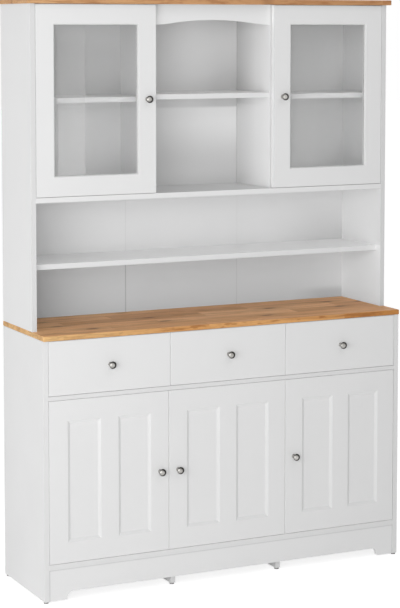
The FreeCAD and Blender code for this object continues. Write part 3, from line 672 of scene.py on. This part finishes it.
def turnKnob(node, settings):
    low, high = (Vector(corner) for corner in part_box(node))
    middle = (low + high) / 2.0
    radius = (high.x - low.x) / 2.0
    reach = high.y - low.y
    shape = bmesh.new()
    rings = []
    for out, forth in settings["profile"]:
        # both ends of the profile are on the axis, where a ring is a single point
        around = settings["sides"] if out > 0.0 else 1
        turns = [math.tau * side / around for side in range(around)]
        rings.append([shape.verts.new((
            middle.x + radius * out * math.cos(turn), high.y - reach * forth,
            middle.z + radius * out * math.sin(turn))) for turn in turns])
    for inner, outer in zip(rings, rings[1:]):
        for side in range(settings["sides"]):
            corners = [ring[place % len(ring)] for ring, place in (
                (inner, side), (inner, side + 1), (outer, side + 1), (outer, side))]
            shape.faces.new(dict.fromkeys(corners)).smooth = True
    bmesh.ops.recalc_face_normals(shape, faces=shape.faces)
    mesh = bpy.data.meshes.new(node + "_turned")
    shape.to_mesh(mesh)
    shape.free()
    piece = bpy.data.objects.new(node + "_turned", mesh)
    scene.collection.objects.link(piece)
    mesh.materials.append(finishes[slotOf[node]])
    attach(piece, bodyOf[node])
    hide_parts(node)


knobs = [node for node in nodes if node.endswith("_knob")]
for node in knobs:
    turnKnob(node, knob)
print("knobs turned:", len(knobs))


# Softened edges, so that pieces catch light along their arrises, with the width and the number of steps
# for each slot. Drawer boxes and beads are of several boards that meet, and stay sharp.
softEdges = {
    "steps": {
        "white_board": (0.0003, 2),
        "oak_board": (0.0004, 2),
        "back_sheet": (0.0002, 1),
        "runner_steel": (0.0003, 1),
    },
    "fromAngle": 35.0,
    "weldDistance": 0.00001,
    "keptSharp": ("_box", "_beads"),
}
for node, piece in nodes.items():
    if slotOf[node] in softEdges["steps"] and not node.endswith(softEdges["keptSharp"]):
        # each face of the frame's pieces has corners of its own, which are joined first
        piece.modifiers.new("joinedFaces", "WELD").merge_threshold = softEdges["weldDistance"]
        soft = piece.modifiers.new("softEdges", "BEVEL")
        soft.width, soft.segments = softEdges["steps"][slotOf[node]]
        soft.limit_method = "ANGLE"
        soft.angle_limit = math.radians(softEdges["fromAngle"])
        soft.use_clamp_overlap = False
        soft.harden_normals = True
print("edges softened")


# A pale floor that runs to the horizon, and the sky over it. Both are white to the camera, but the floor
# takes the cabinet's shadow, and each lights the cabinet at a plain level of its own.
floor = {"size": 60.0, "tone": grey(0.62), "lift": 0.77, "bounce": grey(0.78)}
room = {"white": grey(1.0), "light": grey(1.0), "strength": 0.393}


def seenDirectly(made):
    camera = made.node("ShaderNodeLightPath", out="Is Camera Ray")
    return camera + camera.sibling("Is Glossy Ray") + camera.sibling("Is Transmission Ray")


def makeFloor(name, settings):
    made = newFinish(name)
    matt = made.node("ShaderNodeBsdfDiffuse", {}, {"Color": settings["tone"]})
    lift = made.node("ShaderNodeEmission", {}, {"Color": grey(1.0), "Strength": settings["lift"]})
    white = made.node("ShaderNodeAddShader", {}, {0: matt, 1: lift})
    bounce = made.node("ShaderNodeBsdfDiffuse", {}, {"Color": settings["bounce"]})
    return made.surface(made.node("ShaderNodeMixShader", {}, {0: seenDirectly(made), 1: bounce, 2: white}))


def makeSky(world, settings):
    made = Finish(world)
    daylight = made.node("ShaderNodeBackground", {}, {
        "Color": settings["light"], "Strength": settings["strength"]})
    backdrop = made.node("ShaderNodeBackground", {}, {"Color": settings["white"], "Strength": 1.0})
    made.node("ShaderNodeOutputWorld", {}, {"Surface": made.node("ShaderNodeMixShader", {}, {
        0: seenDirectly(made), 1: daylight, 2: backdrop})})


bpy.ops.mesh.primitive_plane_add(size=floor["size"])
ground = bpy.context.object
ground.name = "paleFloor"
ground.data.materials.append(makeFloor("paleFloor", floor))
scene.world = bpy.data.worlds.new("studio")
makeSky(scene.world, room)

# Four soft lamps stand to the left and in front, and one hangs over the front
lamps = {
    "keyLamp": {"place": (-3.2, -3.6, 1.4), "aim": (0.0, 0.0, 0.95), "size": (3.6, 2.2), "power": 63.0},
    "nearLamp": {"place": (-2.6, -2.6, 1.2), "aim": (-0.2, 0.0, 0.95), "size": (2.2, 2.0), "power": 21.3},
    "frontLamp": {"place": (-1.0, -5.0, 1.3), "aim": (0.0, 0.0, 0.95), "size": (3.0, 2.2), "power": 11.2},
    "sideLamp": {"place": (-4.5, -0.8, 1.3), "aim": (0.0, 0.0, 0.95), "size": (2.4, 2.2), "power": 26.4},
    "topLamp": {"place": (0.2, -2.6, 4.0), "aim": (0.0, 0.0, 0.8), "size": (3.0, 2.4), "power": 17.8},
}
for name, settings in lamps.items():
    light = bpy.data.lights.new(name, "AREA")
    light.energy = settings["power"]
    light.shape = "RECTANGLE"
    light.size, light.size_y = settings["size"]
    lamp = bpy.data.objects.new(name, light)
    scene.collection.objects.link(lamp)
    lamp.location = settings["place"]
    aim = Vector(settings["aim"]) - lamp.location
    lamp.rotation_euler = aim.to_track_quat("-Z", "Y").to_euler()

# The camera stands to the left of the front, near the height of the top, and looks a little down
view = {
    "place": (-2.5043, -5.0757, 1.6438),
    "turn": 26.065,
    "down": 4.634,
    "lens": 111.71,
    "sensor": 36.0,
    "shift": -0.205,
}
cameraData = bpy.data.cameras.new("camera")
cameraData.lens = view["lens"]
cameraData.sensor_width = view["sensor"]
cameraData.shift_y = view["shift"]
camera = bpy.data.objects.new("camera", cameraData)
camera.location = view["place"]
camera.rotation_euler = Euler((math.radians(90 - view["down"]), 0.0, math.radians(-view["turn"])))
scene.collection.objects.link(camera)
scene.camera = camera
print("stage, lamps and camera set")
